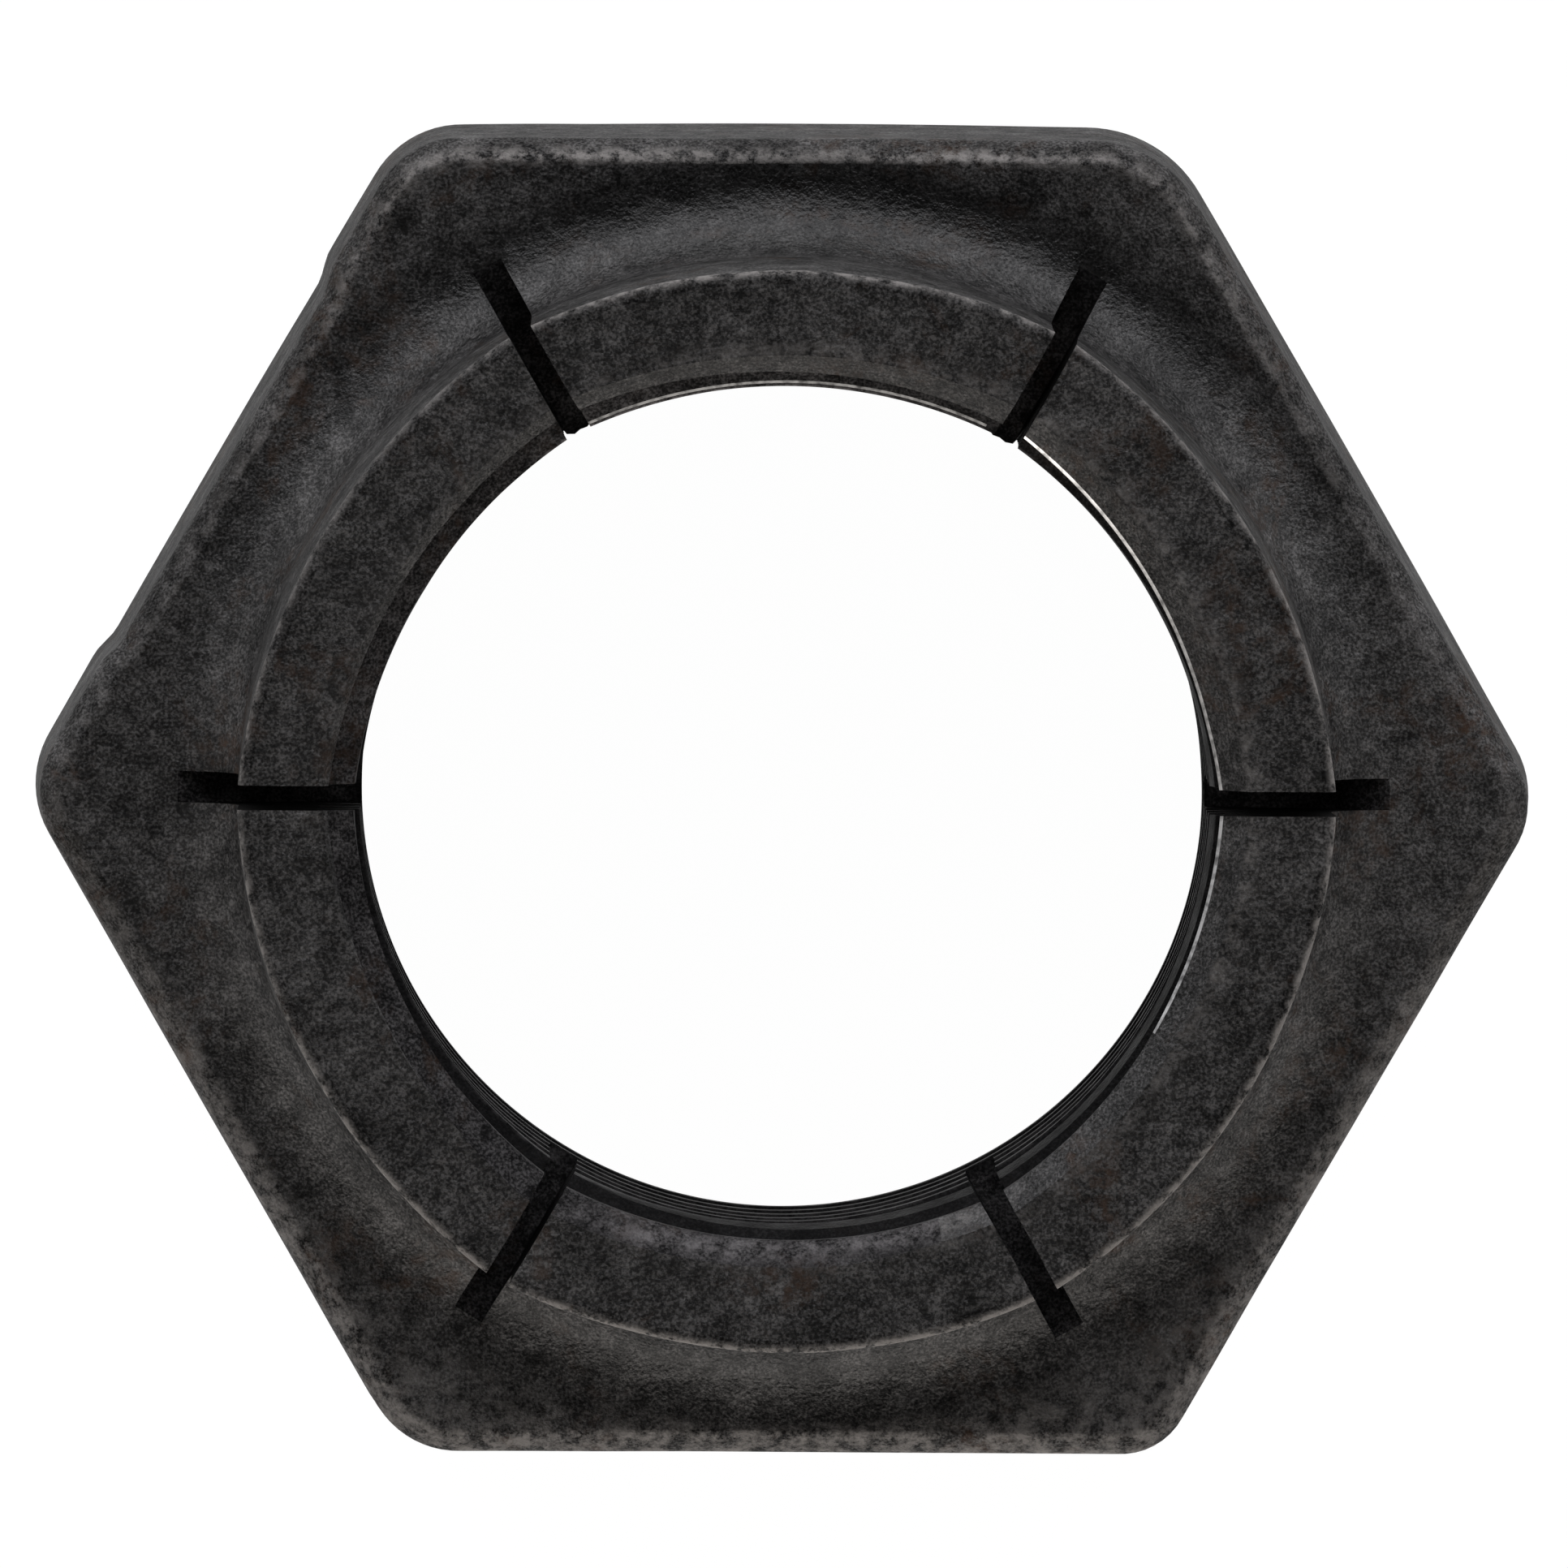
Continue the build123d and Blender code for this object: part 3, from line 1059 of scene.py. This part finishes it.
# %% Oxide skins
outer_colours = dict(
    dark=(0.002, 0.002, 0.002),
    light=(0.163, 0.159, 0.158),
    rust=(0.050, 0.029, 0.019),
    rubbed=(0.26, 0.247, 0.238),
)
thread_colours = dict(
    dark=(0.002, 0.002, 0.0022),
    light=(0.125, 0.120, 0.122),
    rust=(0.030, 0.018, 0.012),
    rubbed=(0.28, 0.265, 0.27),
)
# Painted shade: the slots' walls are made all but black, far darker than the oxide, to stand in for the
# shade inside the narrow cuts.
slot_shade_colours = dict(
    dark=(0.0004, 0.0004, 0.0004),
    light=(0.003, 0.0028, 0.0028),
    rust=(0.004, 0.003, 0.002),
    rubbed=(0.004, 0.004, 0.004),
)
forged_skin = oxide_finish(
    "forged_oxide_skin", roughness=0.38, specular=0.32, grain=0.05, **outer_colours
)
matte_flank = oxide_finish(
    "matte_oxide_flank", roughness=0.62, specular=0.08, grain=0.05, **outer_colours
)
cut_thread = oxide_finish(
    "cut_thread_oxide", roughness=0.70, specular=0.08, grain=0.03, **thread_colours
)
sawn_wall_shade = oxide_finish(
    "sawn_slot_painted_shade", roughness=0.70, specular=0.12, grain=0.02, **slot_shade_colours
)
print("nodes in the forged skin", len(forged_skin.node_tree.nodes))

# %% [markdown]
# Where the oxide is gone altogether, the steel is a metal: the lip is bright,
# and the rubbed top of the last crest has darkened again. The order in which
# the mesh takes its materials is the order of the numbers given to the faces.

# %% Bare steel
bare_roughness = 0.28


def bare_finish(name, dimmest, brightest):
    """Rubbed steel: a metal with a soft gloss, uneven between two greys."""
    skin = Finish(name)
    skin.feed(skin.shader, "Metallic", 1.0)
    skin.feed(skin.shader, "Roughness", bare_roughness)
    steel = skin.noise(per_mm=4.0, detail=3.0)
    steel = skin.ranged(steel, start=0.3, end=0.6, low_to=dimmest, high_to=brightest)
    skin.feed(skin.shader, "Base Color", steel)
    return skin.material


bare_lip = bare_finish("burnished_lip", dimmest=0.25, brightest=0.85)
rubbed_crest = bare_finish("rubbed_crest", dimmest=0.04, brightest=0.20)
for material in (forged_skin, cut_thread, sawn_wall_shade, bare_lip, rubbed_crest, matte_flank):
    mesh.materials.append(material)
print("finishes", [material.name for material in mesh.materials])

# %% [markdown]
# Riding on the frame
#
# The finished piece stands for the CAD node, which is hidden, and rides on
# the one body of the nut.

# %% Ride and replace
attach(nut, "root")
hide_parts("lock_nut")
print(nut.name, "rides on the root body")

# %% [markdown]
# Floor and light
#
# The photograph shows the nut on plain white, under a light tent that is
# bright at low angles, most of all beyond the upper and lower edges of the
# picture, and darker overhead, where the camera looks in. The floor is white
# paper. To the camera and in reflections it is mostly a plain glow of about
# strength one, and the rest of it keeps the nut's shadow. It lies a hair under
# the nut, and it is clear from below, so that the bearing face can be seen.

# %% Floor
floor_half = 600 * MM
floor_drop = 0.02 * MM
paper_grey, paper_roughness = 0.85, 0.9
glow_strength, glow_share = 1.06, 0.93


def white_paper():
    """A matt paper mixed with a plain glow, by the largest of three kinds of
    ray times the glow's share, and clear to a look from behind."""
    paper = bpy.data.materials.new("white_paper")
    bench = Bench(paper)
    matt = bench.nodes["Principled BSDF"]
    bench.feed(matt, "Base Color", (paper_grey, paper_grey, paper_grey, 1))
    bench.feed(matt, "Roughness", paper_roughness)
    rays = bench.add("LightPath").outputs
    seen = bench.maths("MAXIMUM", rays["Is Camera Ray"], rays["Is Glossy Ray"])
    seen = bench.maths("MAXIMUM", seen, rays["Is Transmission Ray"])
    glow = bench.add("Emission", {"Strength": glow_strength}).outputs[0]
    white = bench.blended(bench.maths("MULTIPLY", seen, glow_share), matt.outputs[0], glow)
    behind = bench.add("NewGeometry").outputs["Backfacing"]
    clear = bench.add("BsdfTransparent").outputs[0]
    bench.feed(bench.nodes["Material Output"], "Surface", bench.blended(behind, white, clear))
    return paper


sheet = bpy.data.meshes.new("floor")
corners = np.array([[-1, -1, 0], [1, -1, 0], [1, 1, 0], [-1, 1, 0]]) * floor_half
corners[:, 2] = -floor_drop
sheet.from_pydata(corners.tolist(), [], [[0, 1, 2, 3]])
sheet.materials.append(white_paper())
floor = bpy.data.objects.new("floor", sheet)
bpy.context.scene.collection.objects.link(floor)
floor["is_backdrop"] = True
print("floor", round(2 * floor_half / MM), "mm wide")

# %% [markdown]
# The tent is the world itself, so there are no lamps. A dot product says how
# far the way of a ray leans towards the upper edge of the picture, the lower
# edge or the opening overhead, and a smooth step turns it into a strength.
# Light from the lower side is a little warmer. Rays from the camera see plain
# white instead.

# %% Light tent
warm, cool = (1.0, 0.95, 0.90), (0.97, 0.97, 1.0)
upwards, downwards, overhead = (0, 1, 0), (0, -1, 0), (0, -0.17, 0.985)

tent = bpy.data.worlds.new("light_tent")
bpy.context.scene.world = tent
bench = Bench(tent)
way = bench.add("TexCoord").outputs["Generated"]


def lit_from(direction, start, end, low_to, high_to):
    """Strength by how far a ray leans towards a direction, which is their dot
    product: a smooth step from one strength to another."""
    lean = bench.add("VectorMath", {0: way, 1: direction}, operation="DOT_PRODUCT")
    return bench.ranged(lean.outputs["Value"], start, end, low_to, high_to, curve="SMOOTHSTEP")


upper_light = lit_from(upwards, start=0.42, end=0.90, low_to=0.42, high_to=2.9)
lower_light = lit_from(downwards, start=0.45, end=0.92, low_to=0.0, high_to=2.35)
opening = lit_from(overhead, start=0.40, end=0.82, low_to=1.0, high_to=0.12)
strength = bench.maths("MULTIPLY", bench.maths("ADD", upper_light, lower_light), opening)
coolness = lit_from(upwards, start=-0.8, end=0.8, low_to=0.0, high_to=1.0)
tint = bench.mixed(coolness, warm, cool)
lit = bench.add("VectorMath", {0: tint, "Scale": strength}, operation="SCALE").outputs["Vector"]
to_camera = bench.add("LightPath").outputs["Is Camera Ray"]
bench.feed(bench.nodes["Background"], "Color", bench.mixed(to_camera, lit, (1.0, 1.0, 1.0)))
print("nodes in the light tent", len(bench.nodes))

# %% [markdown]
# Camera
#
# The photograph looks down on the crown through a long lens, from a little
# above and to the left of the axis as the picture shows it. That place was
# worked out from how the rims at different heights shift and grow.

# %% Camera
camera_place = np.array([-4.97, 33.57, 905.0])
camera_target = np.array([0.072, -0.025, 0.0])
photo_roll = np.radians(0.27)
sensor_width = 36.0
lens_length = 752.9
nearest_seen, furthest_seen = 50 * MM, 10000 * MM


def look_from(place, target, roll):
    """Camera matrix: z points away from the target, x is square to that and to
    an up direction that leans over by the roll, and y is square to both."""
    back = (place - target) / np.linalg.norm(place - target)
    up = np.array([np.sin(roll), np.cos(roll), 0.0])
    right = np.cross(up, back)
    right /= np.linalg.norm(right)
    matrix = np.eye(4)
    matrix[:3, 0], matrix[:3, 1], matrix[:3, 2] = right, np.cross(back, right), back
    matrix[:3, 3] = place * MM
    return matrix


lens = bpy.data.cameras.new("photo_camera")
lens.sensor_width = sensor_width
lens.lens = lens_length
lens.clip_start, lens.clip_end = nearest_seen, furthest_seen
camera = bpy.data.objects.new("photo_camera", lens)
camera.matrix_world = look_from(camera_place, camera_target, -photo_roll).T.tolist()
bpy.context.scene.collection.objects.link(camera)
bpy.context.scene.camera = camera
bpy.context.scene.view_settings.view_transform = "Standard"
print("camera", round(float(np.linalg.norm(camera_place - camera_target))), "mm from the nut")

# %% [markdown]
# Size against the CAD model
#
# The last cell writes both boxes down, the CAD model's and the finished
# one's, so that they can be compared after each render.

# %% Sizes of the CAD model and the finished piece
finished_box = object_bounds()
for name, cad, made in zip(("low", "high"), cad_box, finished_box):
    print(name, "corner, CAD", np.round(np.array(cad) / MM, 3), "finished", np.round(np.array(made) / MM, 3))
